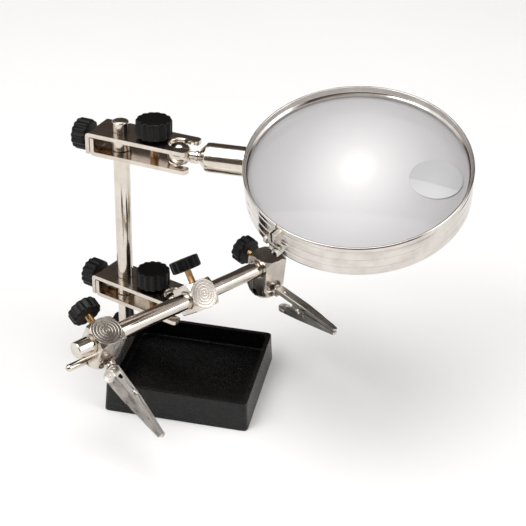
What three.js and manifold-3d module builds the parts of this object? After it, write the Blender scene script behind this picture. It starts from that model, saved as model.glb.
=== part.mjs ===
// A helping hands clamp: a tray base with an upright post, two ball clamps that slide and turn on
// the post, a magnifier on the upper clamp and a crossbar with two spring clips on the lower one.
// Millimetres, +Z up, origin at the centre of the underside of the rectangular tray.
import * as THREE from "three";
import { mergeVertices } from "three/addons/utils/BufferGeometryUtils.js";
import Module from "manifold-3d";

const wasm = await Module();
wasm.setup();

// ---------------------------------------------------------------- driving dimensions
const GAP = 0.3; // clearance wherever two pieces meet

const BASE_LENGTH = 70;
const BASE_WIDTH = 63;
const BASE_HEIGHT = 15;
const BASE_FLARE = 0.9; // how far the sides lean out at the bottom
const BASE_CORNER = 2.5;
const TRAY_WALL = 2.6;
const TRAY_FLOOR = 4;
const TRAY_DRAFT = 2.2; // how far the inside walls lean in at the floor
const PAD_LENGTH = 23; // the post's pad, beside the tray and level with its rim
const PAD_WIDTH = 29.5;
const PAD_X = -38;
const PAD_Y = 16.75;

const POST_X = -38;
const POST_Y = 13.5;
const POST_RADIUS = 4;
const POST_TOP = 134.6;
const POST_SOCKET = 6; // height of the bottom of the post's socket in the pad
const POST_CHAMFER = 0.8;
const FIXING_RADIUS = 2; // of the screw that holds the post from underneath
const FIXING_TOP = 14.5;
const FIXING_HEAD_RADIUS = 4.1;
const FIXING_HEAD = [0.5, 3]; // heights of the bottom and top of its head

const CLAMP_GAP = 7.2; // between the two jaws of a ball clamp
const JAW_PLATE = 2;
const CLAMP_WIDTH = 19;
const CLAMP_BACK = -13.8; // end of the jaws behind the post
const CLAMP_FRONT = 38; // end of the jaws past the ball
const CLAMP_SCREW_X = 17.5;
const CLAMP_BALL_X = 30.5;
const CLAMP_SLOT = 8.4; // width of the open slot that the ball's stud tilts through
const BALL_RADIUS = 5.75;
const SEAT_RADIUS = 4.85; // of the hole in each jaw that the ball sits in
const SEAT_CHAMFER = 0.45;
const STUD_RADIUS = 2;
const UPPER_CLAMP_Z = 123.4; // height of the middle of each clamp's gap
const UPPER_CLAMP_YAW = -11;
const LOWER_CLAMP_Z = 44.4;
const LOWER_CLAMP_YAW = -21;

const SLEEVE_RADIUS = 4.8; // of the split sleeve between the post and the jaws
const SCREW_RADIUS = 1.95;
const BALL_KNOB_RADIUS = 8.5;
const BALL_KNOB_HEIGHT = 8.6;
const POST_KNOB_RADIUS = 7.5;
const POST_KNOB_HEIGHT = 7.4;
const BIG_KNOB_FLUTES = 14;
const SMALL_SCREW_RADIUS = 1.7;
const SMALL_KNOB_RADIUS = 7.3;
const SMALL_KNOB_HEIGHT = 6;
const SMALL_KNOB_FLUTES = 12;
const KNOB_SOCKET = 4; // depth of the screw in its knob

const LENS_CENTRE = 83.5; // from the upper ball to the middle of the lens
const LENS_RADIUS = 49.8;
const RIM_RADIUS = 51.4;
const RIM_SEGMENTS = 56;
const RIM_HALF = 8.4; // half of the rim band's depth
const LENS_EDGE = 1.4; // half of the lens's thickness at its edge
const LENS_CROWN = 3.6; // half of its thickness in the middle
const LENS_LEVEL = 1.6; // height of the lens's middle plane in the rim
const INSERT_X = 34.8; // the stronger small lens moulded into the underside
const INSERT_RADIUS = 12;
const LUG_ANGLE = 238; // where the rim's ends meet
const LUG_REACH = 3.6; // from the rim's outside to the end of its lug
const LUG_HALF = 3.4;
const LUG_BOTTOM = -7.4;
const LUG_TOP = 6.4;
const RIM_SCREW_REACH = 1.7; // from the rim's outside to the rim screw
const RIM_SCREW_Z = -2;
const RIM_SCREW_RADIUS = 1;
const RIM_SCREW_HEAD = 1.9;
const RIM_SPLIT = 1;
const NECK_COLLAR = 2.5; // radius of the collar behind the ball
const NECK_END = 22;
const FERRULE_RADIUS = 7;
const FERRULE_NOSE = 3.6; // radius of the ferrule's small end
const FERRULE_START = 10.3;
const FERRULE_CONE = 3.4;
const FERRULE_END = LENS_CENTRE - RIM_RADIUS - GAP;

const BAR_YAW = 54.6;
const BAR_RADIUS = 4;
const BAR_LEFT = -71; // ends of the crossbar, from the middle of the centre block
const BAR_RIGHT = 55.5;
const BAR_CHAMFER = 0.6;
const BLOCK_SIDE = 13.6;
const BLOCK_FACE = 6; // from the crossbar's axis to a block's turned face
const BLOCK_FACE_RADIUS = 7.5;
const BLOCK_CORNER_RADIUS = 9.62;
const BLOCK_CHAMFER = 1.8;
const CENTRE_BLOCK_BACK = 8.6;
const END_BLOCK_NOSE = 17.4;
const CENTRE_BLOCK_TILT = 54; // of each block's axis from the vertical, about the crossbar
const LEFT_BLOCK_TILT = 25.6;
const RIGHT_BLOCK_TILT = 5.2;
const LEFT_BLOCK_X = -55.2; // along the crossbar, from the centre block
const RIGHT_BLOCK_X = 45.3;
const BALL_TO_BAR = 22;
const SMALL_KNOB_START = 13.2; // from the crossbar's axis to a small knob

const STEM_DROP = 10.5; // from the crossbar's axis to a clip's stem
const STEM_RADIUS = 2.6;
const STEM_OFFSET = 3; // the clip's own origin lies this far off the block's axis
const STEM_NECK = 1.8;
const RIVET_RADIUS = 1.2; // of the stem's end, riveted to the held jaw
const STEM_WAIST = 1.5; // radius of the groove that the pin runs in
const STEM_FLANGE = 3;
const PIN_DROP = 14.2; // from the crossbar's axis to the pin that keeps the stem in
const PIN_RADIUS = 1.8;
const LEFT_PIN_PROUD = 10.4;
const RIGHT_PIN_PROUD = -0.3;
const LEFT_CLIP_TURN = 127; // of each clip about its stem
const RIGHT_CLIP_TURN = 0;

const CLIP_TIP = 47.5; // from the clip's origin to its tip
const JAW_WIDTH = 4.8;
const JAW_TIP_WIDTH = 2.2;
const SHEET = 0.8;
const JAW_TOP = 2.8;
const JAW_TIP_TOP = 1.6; // the held jaw is lower at its tip
const PIVOT_X = 24;
const PIVOT_Z = -1;
const PIVOT_RADIUS = 0.9;
const PIVOT_CLEARANCE = 0.25;
const PIVOT_HEAD = 1.5;
const JAW_HOLE_X = 12.5; // of the round hole through the top of the held jaw
const JAW_HOLE_RADIUS = 1.3;
const SPRING_RADIUS = 1.7;
const THUMB_X = 12.6;
const THUMB_Z = -7.4;
const PAD_RADIUS = 3.1;

// ---------------------------------------------------------------- materials
const finish = (color, roughness, metalness) => new THREE.MeshStandardMaterial({ color, roughness, metalness });
const CASTING = finish(0x17171a, 0.55, 0.2);
const NICKEL = finish(0xd9d2c8, 0.18, 1);
const CHROME = finish(0xe4e0da, 0.1, 1);
const BRASS = finish(0xb98546, 0.3, 1);
const KNOB_BLACK = finish(0x141416, 0.5, 0);
const SPRING_STEEL = finish(0x9a958c, 0.3, 1);
const LENS_GLASS = finish(0xeef1f2, 0.05, 0);

// ---------------------------------------------------------------- solids
// A closed geometry as a solid, turned outside out if its faces point inwards.
function solid(geometry) {
  const bare = new THREE.BufferGeometry();
  const source = geometry.index ? geometry.toNonIndexed() : geometry;
  bare.setAttribute("position", source.getAttribute("position"));
  const merged = mergeVertices(bare, 1e-4);
  const index = merged.index.array;
  const faces = [];
  for (let i = 0; i < index.length; i += 3) {
    const [a, b, c] = [index[i], index[i + 1], index[i + 2]];
    if (a !== b && b !== c && c !== a) faces.push([a, b, c]);
  }
  const build = (list) =>
    new wasm.Manifold(
      new wasm.Mesh({
        numProp: 3,
        vertProperties: new Float32Array(merged.attributes.position.array),
        triVerts: new Uint32Array(list.flat()),
      }),
    );
  const made = build(faces);
  return made.volume() < 0 ? build(faces.map(([a, b, c]) => [a, c, b])) : made;
}

// A solid as a geometry with flat faces.
function geometryOf(shape) {
  const mesh = shape.getMesh();
  const geometry = new THREE.BufferGeometry();
  geometry.setAttribute("position", new THREE.BufferAttribute(new Float32Array(mesh.vertProperties), 3));
  geometry.setIndex(new THREE.BufferAttribute(new Uint32Array(mesh.triVerts), 1));
  const flat = geometry.toNonIndexed();
  flat.computeVertexNormals();
  return flat;
}

const box = (x0, x1, y0, y1, z0, z1) =>
  solid(
    new THREE.BoxGeometry(x1 - x0, y1 - y0, z1 - z0).translate((x0 + x1) / 2, (y0 + y1) / 2, (z0 + z1) / 2),
  );

// A solid of revolution about Z, from [radius, height] points that start and end on the axis.
function turned(profile, segments = 24) {
  const points = profile.map(([r, z]) => new THREE.Vector2(r, z));
  return solid(new THREE.LatheGeometry(points, segments).rotateX(Math.PI / 2));
}

const rodZ = (r, z0, z1, segments = 24) => turned([[0, z0], [r, z0], [r, z1], [0, z1]], segments);
const alongX = (shape) => shape.rotate([0, 90, 0]); // Z becomes X
const alongY = (shape) => shape.rotate([-90, 0, 0]); // Z becomes Y
const rodX = (r, x0, x1, segments) => alongX(rodZ(r, x0, x1, segments));
const rodY = (r, y0, y1, segments) => alongY(rodZ(r, y0, y1, segments));
const ballAt = (r, x, y, z) => solid(new THREE.SphereGeometry(r, 20, 12)).translate([x, y, z]);

// A flat outline of [x, y] points raised from z0 to z1.
function slab(points, z0, z1) {
  const outline = new THREE.Shape(points.map(([x, y]) => new THREE.Vector2(x, y)));
  return solid(
    new THREE.ExtrudeGeometry(outline, { depth: z1 - z0, bevelEnabled: false }).translate(0, 0, z0),
  );
}

// A profile of [x, z] points spread from y0 to y1.
const sideSlab = (points, y0, y1) =>
  slab(points.map(([x, z]) => [x, -z]), y0, y1).rotate([-90, 0, 0]);

// A rectangle with rounded corners, as points.
function roundedRectangle(x0, x1, y0, y1, corner, steps = 3) {
  const points = [];
  const centres = [[x1 - corner, y1 - corner], [x0 + corner, y1 - corner], [x0 + corner, y0 + corner],
    [x1 - corner, y0 + corner]];
  centres.forEach(([x, y], quarter) => {
    for (let i = 0; i <= steps; i++) {
      const angle = (quarter + i / steps) * (Math.PI / 2);
      points.push([x + corner * Math.cos(angle), y + corner * Math.sin(angle)]);
    }
  });
  return points;
}

// A rounded block whose sides lean out by lean between z1 and z0, about its own middle.
function leaningBlock(x0, x1, y0, y1, corner, z0, z1, lean) {
  const shape = new THREE.Shape(
    roundedRectangle(x0, x1, y0, y1, corner).map(([x, y]) => new THREE.Vector2(x, y)),
  );
  const geometry = new THREE.ExtrudeGeometry(shape, { depth: z1 - z0, bevelEnabled: false }).translate(0, 0, z0);
  const position = geometry.getAttribute("position");
  const middle = [(x0 + x1) / 2, (y0 + y1) / 2];
  for (let i = 0; i < position.count; i++) {
    const shift = (lean * (z1 - position.getZ(i))) / (z1 - z0);
    position.setX(i, position.getX(i) + shift * Math.sign(position.getX(i) - middle[0]));
    position.setY(i, position.getY(i) + shift * Math.sign(position.getY(i) - middle[1]));
  }
  return solid(geometry);
}

// ---------------------------------------------------------------- scene graph
function add(group, name, shape, material) {
  const mesh = new THREE.Mesh(geometryOf(shape), material);
  mesh.name = name;
  group.add(mesh);
}

// A group with its origin at a point and its X and Z along the given directions.
function frameAt(parent, origin, x, z) {
  const group = new THREE.Group();
  const xAxis = new THREE.Vector3(...x).normalize();
  const zAxis = new THREE.Vector3(...z).normalize();
  const yAxis = new THREE.Vector3().crossVectors(zAxis, xAxis).normalize();
  xAxis.crossVectors(yAxis, zAxis).normalize();
  group.quaternion.setFromRotationMatrix(new THREE.Matrix4().makeBasis(xAxis, yAxis, zAxis));
  group.position.set(...origin);
  parent.add(group);
  return group;
}

const degrees = (angle) => (angle * Math.PI) / 180;
const combine = (a, u, b, v) => u.map((value, i) => a * value + b * v[i]);
const offset = (origin, distance, direction) => origin.map((value, i) => value + distance * direction[i]);

// ---------------------------------------------------------------- shared pieces
// A fluted knob on Z, its screw's socket opening downwards at z0.
function knob(radius, height, flutes, screwRadius, z0) {
  const depth = 0.75; // of the flutes
  const points = [];
  const steps = 2 * flutes;
  for (let i = 0; i < steps; i++) {
    const angle = (i / steps) * 2 * Math.PI;
    const r = radius - depth * (0.5 - 0.5 * Math.cos(flutes * angle));
    points.push([r * Math.cos(angle), r * Math.sin(angle)]);
  }
  const edge = 1.1; // rounding of the two rims
  const form = turned([[0, z0], [radius - edge, z0], [radius + 0.1, z0 + edge],
    [radius + 0.1, z0 + height - edge], [radius - edge, z0 + height], [0, z0 + height]]);
  return slab(points, z0, z0 + height)
    .intersect(form)
    .subtract(rodZ(screwRadius + GAP, z0 - 1, z0 + KNOB_SOCKET, 20));
}

// ---------------------------------------------------------------- base and post
function makeBase(parent) {
  const halfLength = BASE_LENGTH / 2;
  const halfWidth = BASE_WIDTH / 2;
  const block = leaningBlock(-halfLength, halfLength, -halfWidth, halfWidth, BASE_CORNER, 0, BASE_HEIGHT, BASE_FLARE);
  const hollow = leaningBlock(-halfLength + TRAY_WALL, halfLength - TRAY_WALL, -halfWidth + TRAY_WALL,
    halfWidth - TRAY_WALL, BASE_CORNER + 1.5, TRAY_FLOOR, BASE_HEIGHT + 2, -TRAY_DRAFT);
  const pad = leaningBlock(PAD_X - PAD_LENGTH / 2, PAD_X + PAD_LENGTH / 2, PAD_Y - PAD_WIDTH / 2,
    PAD_Y + PAD_WIDTH / 2, BASE_CORNER, 0, BASE_HEIGHT, BASE_FLARE);
  const socket = rodZ(POST_RADIUS + GAP, POST_SOCKET, BASE_HEIGHT + 1).translate([POST_X, POST_Y, 0]);
  const screwHole = rodZ(FIXING_RADIUS + GAP, -1, POST_SOCKET + 1, 24).translate([POST_X, POST_Y, 0]);
  const counterbore = rodZ(FIXING_HEAD_RADIUS + 0.5, -1, FIXING_HEAD[1] + 0.4, 24).translate([POST_X, POST_Y, 0]);
  const tray = block.subtract(hollow).add(pad).subtract(socket).subtract(screwHole).subtract(counterbore);
  add(parent, "base_tray", tray, CASTING);

  const foot = POST_SOCKET + GAP;
  const post = turned([[0, foot], [POST_RADIUS, foot], [POST_RADIUS, POST_TOP - POST_CHAMFER],
    [POST_RADIUS - POST_CHAMFER, POST_TOP], [0, POST_TOP]]).subtract(rodZ(FIXING_RADIUS + GAP, 0, FIXING_TOP + 0.5, 20));
  add(parent, "post", post.translate([POST_X, POST_Y, 0]), NICKEL);

  const [headBottom, headTop] = FIXING_HEAD;
  const driverSlot = box(-5, 5, -0.5, 0.5, 0, 1.4);
  const screw = turned([[0, headBottom], [FIXING_HEAD_RADIUS - 0.5, headBottom], [FIXING_HEAD_RADIUS, headBottom + 0.5],
    [FIXING_HEAD_RADIUS, headTop], [FIXING_RADIUS, headTop], [FIXING_RADIUS, FIXING_TOP], [0, FIXING_TOP]], 24)
    .subtract(driverSlot);
  add(parent, "post_fixing_screw", screw.translate([POST_X, POST_Y, 0]), SPRING_STEEL);
}

// ---------------------------------------------------------------- ball clamps
const HALF_GAP = CLAMP_GAP / 2;
const CLAMP_TOP = HALF_GAP + JAW_PLATE;

// The flat plan of a jaw, from x0 to the open slot past the ball.
function jawPlan(x0) {
  const half = CLAMP_WIDTH / 2;
  const slot = CLAMP_SLOT / 2;
  const round = 2.6; // at the two tips
  const tip = (side) => [
    [CLAMP_FRONT - round, side * half],
    [CLAMP_FRONT - 0.7, side * (half - 0.9)],
    [CLAMP_FRONT, side * (half - round)],
    [CLAMP_FRONT, side * (slot + 0.8)],
    [CLAMP_FRONT - 0.8, side * slot],
  ];
  return [[x0, -half], ...tip(-1), [CLAMP_BALL_X, -slot], [CLAMP_BALL_X, slot], ...tip(1).reverse(), [x0, half]];
}

// What is cut from both jaws: the post's hole, the clamp screw's hole and the ball's seat.
function jawHoles() {
  const past = CLAMP_TOP + 1.4;
  const mouth = SEAT_RADIUS + SEAT_CHAMFER;
  const seat = turned([[0, -past], [mouth, -past], [mouth, -CLAMP_TOP + 0.1], [SEAT_RADIUS, -CLAMP_TOP + 0.8],
    [SEAT_RADIUS, CLAMP_TOP - 0.8], [mouth, CLAMP_TOP - 0.1], [mouth, past], [0, past]]);
  return rodZ(POST_RADIUS + GAP, -past, past)
    .add(rodZ(SCREW_RADIUS + GAP, -past, past, 16).translate([CLAMP_SCREW_X, 0, 0]))
    .add(seat.translate([CLAMP_BALL_X, 0, 0]));
}

function makeClamp(parent, prefix, height, yaw) {
  const direction = [Math.cos(degrees(yaw)), Math.sin(degrees(yaw)), 0];
  const group = frameAt(parent, [POST_X, POST_Y, height], direction, [0, 0, 1]);
  const half = CLAMP_WIDTH / 2;
  const holes = jawHoles();
  const screwHole = rodX(SCREW_RADIUS + GAP, CLAMP_BACK - 2, -8, 16);

  // Each jaw is a plate with a flange across its back end: the upper one's is the outer.
  const bend = 2.2;
  const outerPlan = [[CLAMP_BACK, -5], [CLAMP_BACK + JAW_PLATE, -5], [CLAMP_BACK + JAW_PLATE, HALF_GAP],
    [0, HALF_GAP], [0, CLAMP_TOP], [CLAMP_BACK + bend, CLAMP_TOP], [CLAMP_BACK + bend * 0.3, CLAMP_TOP - bend * 0.3],
    [CLAMP_BACK, CLAMP_TOP - bend]];
  const topJaw = slab(jawPlan(-1), HALF_GAP, CLAMP_TOP).add(sideSlab(outerPlan, -half, half));
  add(group, prefix + "_top_jaw", topJaw.subtract(holes).subtract(screwHole), NICKEL);

  const inner = CLAMP_BACK + JAW_PLATE + 0.4;
  const innerPlan = [[inner + bend * 0.3, -CLAMP_TOP + bend * 0.3], [inner + bend, -CLAMP_TOP], [0, -CLAMP_TOP],
    [0, -HALF_GAP], [inner + JAW_PLATE, -HALF_GAP], [inner + JAW_PLATE, HALF_GAP - 0.4], [inner, HALF_GAP - 0.4],
    [inner, -CLAMP_TOP + bend]];
  const bottomJaw = slab(jawPlan(-1), -CLAMP_TOP, -HALF_GAP).add(sideSlab(innerPlan, -half, half));
  add(group, prefix + "_bottom_jaw", bottomJaw.subtract(holes).subtract(screwHole), NICKEL);

  // The split sleeve that rides on the post between the jaws and takes the post screw's push.
  const sleeveHalf = HALF_GAP - GAP;
  const sleeve = rodZ(SLEEVE_RADIUS, -sleeveHalf, sleeveHalf).subtract(rodZ(POST_RADIUS + 0.2, -5, 5));
  add(group, prefix + "_post_sleeve", sleeve.subtract(box(3, 7, -0.4, 0.4, -5, 5)), NICKEL);

  const knobStart = CLAMP_TOP + 0.9;
  const ballScrew = rodZ(SCREW_RADIUS, -CLAMP_TOP, knobStart + KNOB_SOCKET - GAP, 24);
  add(group, prefix + "_ball_screw", ballScrew.translate([CLAMP_SCREW_X, 0, 0]), BRASS);
  const ballKnob = knob(BALL_KNOB_RADIUS, BALL_KNOB_HEIGHT, BIG_KNOB_FLUTES, SCREW_RADIUS, knobStart);
  add(group, prefix + "_ball_knob", ballKnob.translate([CLAMP_SCREW_X, 0, 0]), KNOB_BLACK);

  const postKnobStart = -CLAMP_BACK + 2;
  const postScrew = rodX(SCREW_RADIUS, -(postKnobStart + KNOB_SOCKET - GAP), -SLEEVE_RADIUS - GAP, 24);
  add(group, prefix + "_post_screw", postScrew, BRASS);
  const postKnob = knob(POST_KNOB_RADIUS, POST_KNOB_HEIGHT, BIG_KNOB_FLUTES, SCREW_RADIUS, postKnobStart);
  add(group, prefix + "_post_knob", postKnob.rotate([0, -90, 0]), KNOB_BLACK);
  return offset([POST_X, POST_Y, height], CLAMP_BALL_X, direction); // the middle of the ball it holds
}

// ---------------------------------------------------------------- magnifier
function makeMagnifier(parent, ball) {
  const group = frameAt(parent, ball, [0.999, -0.039, 0.016], [-0.028, -0.333, 0.942]);
  add(group, "magnifier_ball", ballAt(BALL_RADIUS, 0, 0, 0), CHROME);

  const neck = alongX(turned([[0, BALL_RADIUS + GAP], [STUD_RADIUS, BALL_RADIUS + GAP], [STUD_RADIUS, 8],
    [NECK_COLLAR, 8.3], [NECK_COLLAR, 9.2], [STUD_RADIUS, 9.5], [STUD_RADIUS, NECK_END], [0, NECK_END]], 24));
  add(group, "magnifier_neck", neck, CHROME);

  const coneEnd = FERRULE_START + FERRULE_CONE;
  const ferrule = turned([[0, FERRULE_START], [FERRULE_NOSE, FERRULE_START], [FERRULE_RADIUS - 0.3, coneEnd - 0.3],
    [FERRULE_RADIUS, coneEnd + 0.4], [FERRULE_RADIUS, FERRULE_END + 3], [0, FERRULE_END + 3]], 36)
    .subtract(rodZ(STUD_RADIUS + GAP, FERRULE_START - 1, NECK_END + GAP, 24));
  const rimSpace = rodZ(RIM_RADIUS + GAP, -20, 20, RIM_SEGMENTS).translate([LENS_CENTRE, 0, 0]);
  add(group, "magnifier_ferrule", alongX(ferrule).subtract(rimSpace), CHROME);

  const lens = frameAt(group, [LENS_CENTRE, 0, 0], [1, 0, 0], [0, 0, 1]);
  const innerRadius = LENS_RADIUS + GAP;
  const lip = LENS_RADIUS - 0.7; // the two lips that hold the lens's edge
  const lipTop = LENS_LEVEL + LENS_EDGE + 0.2;
  const lipBottom = LENS_LEVEL - LENS_EDGE - 0.2;
  const outer = [[RIM_RADIUS - 0.5, -RIM_HALF], [RIM_RADIUS, -RIM_HALF + 0.5], [RIM_RADIUS, RIM_HALF - 1.5],
    [RIM_RADIUS - 0.5, RIM_HALF]];
  const inside = [[innerRadius, RIM_HALF], [innerRadius, lipTop + 1.6], [lip, lipTop + 1.2], [lip, lipTop],
    [innerRadius, lipTop], [innerRadius, lipBottom], [lip, lipBottom], [lip, lipBottom - 1.2],
    [innerRadius, lipBottom - 1.6], [innerRadius, -RIM_HALF]];
  const ring = [...outer, ...inside, outer[0]].map(([r, z]) => new THREE.Vector2(r, z));
  const band = solid(new THREE.LatheGeometry(ring, RIM_SEGMENTS).rotateX(Math.PI / 2));
  // The rim is split at its lug, and a screw across the split draws it shut on the lens.
  const screwX = RIM_RADIUS + RIM_SCREW_REACH;
  const lug = box(RIM_RADIUS - 1, RIM_RADIUS + LUG_REACH, -LUG_HALF, LUG_HALF, LUG_BOTTOM, LUG_TOP)
    .subtract(rodY(RIM_SCREW_RADIUS + GAP, -6, 6, 16).translate([screwX, 0, RIM_SCREW_Z]));
  const split = box(lip - 1, screwX + 4, -RIM_SPLIT / 2, RIM_SPLIT / 2, -10, 10);
  const rim = band.add(lug).subtract(split);
  add(lens, "lens_rim", rim.rotate([0, 0, LUG_ANGLE]), CHROME);
  const under = -LUG_HALF - GAP; // the underside of the screw's head
  const rimScrew = alongY(turned([[0, under - 1.9], [RIM_SCREW_HEAD, under - 1.9], [RIM_SCREW_HEAD, under],
    [RIM_SCREW_RADIUS, under], [RIM_SCREW_RADIUS, 4], [0, 4]], 16)).subtract(box(-3, 3, -6, -5, -0.35, 0.35));
  add(lens, "rim_screw", rimScrew.translate([screwX, 0, RIM_SCREW_Z]).rotate([0, 0, LUG_ANGLE]), SPRING_STEEL);

  // A double convex lens, with a small stronger lens moulded into its underside.
  const bulge = (r) => LENS_EDGE + (LENS_CROWN - LENS_EDGE) * (1 - (r / LENS_RADIUS) ** 2);
  const rings = [0, 16, 31, 42];
  const profile = [...rings.map((r) => [r, -bulge(r)]), [LENS_RADIUS, -LENS_EDGE + 0.1],
    [LENS_RADIUS, LENS_EDGE - 0.1], ...rings.map((r) => [r, bulge(r)]).reverse()];
  const small = turned([[0, -4.1], [4, -3.95], [8, -3.4], [INSERT_RADIUS, -2.4], [INSERT_RADIUS, 0], [0, 0]], 28);
  const glass = turned(profile, 48).add(small.translate([INSERT_X, 0, 0]));
  add(lens, "lens_glass", glass.translate([0, 0, LENS_LEVEL]), LENS_GLASS);
}

// ---------------------------------------------------------------- crossbar and its blocks
const BAR_DIRECTION = [Math.cos(degrees(BAR_YAW)), Math.sin(degrees(BAR_YAW)), 0];
const BAR_ACROSS = [Math.sin(degrees(BAR_YAW)), -Math.cos(degrees(BAR_YAW)), 0];

// The axis of a block that leans away from the vertical, across the crossbar.
const blockAxis = (tilt) =>
  combine(Math.cos(degrees(tilt)), [0, 0, 1], Math.sin(degrees(tilt)), BAR_ACROSS);

// Square bar with one end turned to a round face: the block's axis is Z, the crossbar's X.
function squareBlock(bottom) {
  const half = BLOCK_SIDE / 2;
  const form = turned([...bottom, [BLOCK_CORNER_RADIUS, BLOCK_FACE - BLOCK_CHAMFER], [BLOCK_FACE_RADIUS, BLOCK_FACE],
    [0, BLOCK_FACE]], 28);
  const low = Math.min(...bottom.map(([, z]) => z));
  return box(-half, half, -half, half, low - 1, BLOCK_FACE + 1)
    .intersect(form)
    .subtract(rodX(BAR_RADIUS + 0.25, -10, 10, 24))
    .subtract(rodY(SMALL_SCREW_RADIUS + GAP, 2, 10, 20));
}

function makeThumbscrew(group, prefix) {
  const end = SMALL_KNOB_START + KNOB_SOCKET - GAP;
  add(group, prefix + "_screw", rodY(SMALL_SCREW_RADIUS, BAR_RADIUS + GAP, end, 24), BRASS);
  const head = knob(SMALL_KNOB_RADIUS, SMALL_KNOB_HEIGHT, SMALL_KNOB_FLUTES, SMALL_SCREW_RADIUS, SMALL_KNOB_START);
  add(group, prefix + "_knob", alongY(head), KNOB_BLACK);
}

function makeCentre(parent, ball) {
  const axis = blockAxis(CENTRE_BLOCK_TILT);
  const origin = offset(ball, BALL_TO_BAR, axis);
  const group = frameAt(parent, origin, BAR_DIRECTION, axis);
  add(group, "crossbar_ball", ballAt(BALL_RADIUS, 0, 0, -BALL_TO_BAR), CHROME);
  const ballSurface = -BALL_TO_BAR + BALL_RADIUS + GAP;
  const studEnd = -BAR_RADIUS - 0.7;
  add(group, "crossbar_stud", rodZ(STUD_RADIUS, ballSurface, studEnd - GAP, 24), CHROME);
  const back = [[0, -CENTRE_BLOCK_BACK], [BLOCK_CORNER_RADIUS - 1, -CENTRE_BLOCK_BACK],
    [BLOCK_CORNER_RADIUS, -CENTRE_BLOCK_BACK + 0.7]];
  const block = squareBlock(back).subtract(rodZ(STUD_RADIUS + GAP, -12, studEnd, 24));
  add(group, "centre_block", block, NICKEL);
  makeThumbscrew(group, "centre");

  const barEnd = BAR_RADIUS - BAR_CHAMFER;
  const bar = turned([[0, BAR_LEFT], [barEnd, BAR_LEFT], [BAR_RADIUS, BAR_LEFT + BAR_CHAMFER],
    [BAR_RADIUS, BAR_RIGHT - BAR_CHAMFER], [barEnd, BAR_RIGHT], [0, BAR_RIGHT]]);
  add(group, "crossbar", alongX(bar), CHROME);
  return origin;
}

// The sheet-metal plan of a clip's jaw, narrowed by inset on every side.
function clipPlan(x0, inset) {
  const half = JAW_WIDTH / 2 - inset;
  const tip = JAW_TIP_WIDTH / 2 - inset;
  const end = CLIP_TIP - inset;
  const corner = 0.5 * tip;
  return [[x0, -half + 0.2], [x0 + 4, -half], [PIVOT_X + 1, -half], [end - corner, -tip], [end, -tip + corner],
    [end, tip - corner], [end - corner, tip], [PIVOT_X + 1, half], [x0 + 4, half], [x0, half - 0.2]];
}

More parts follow.
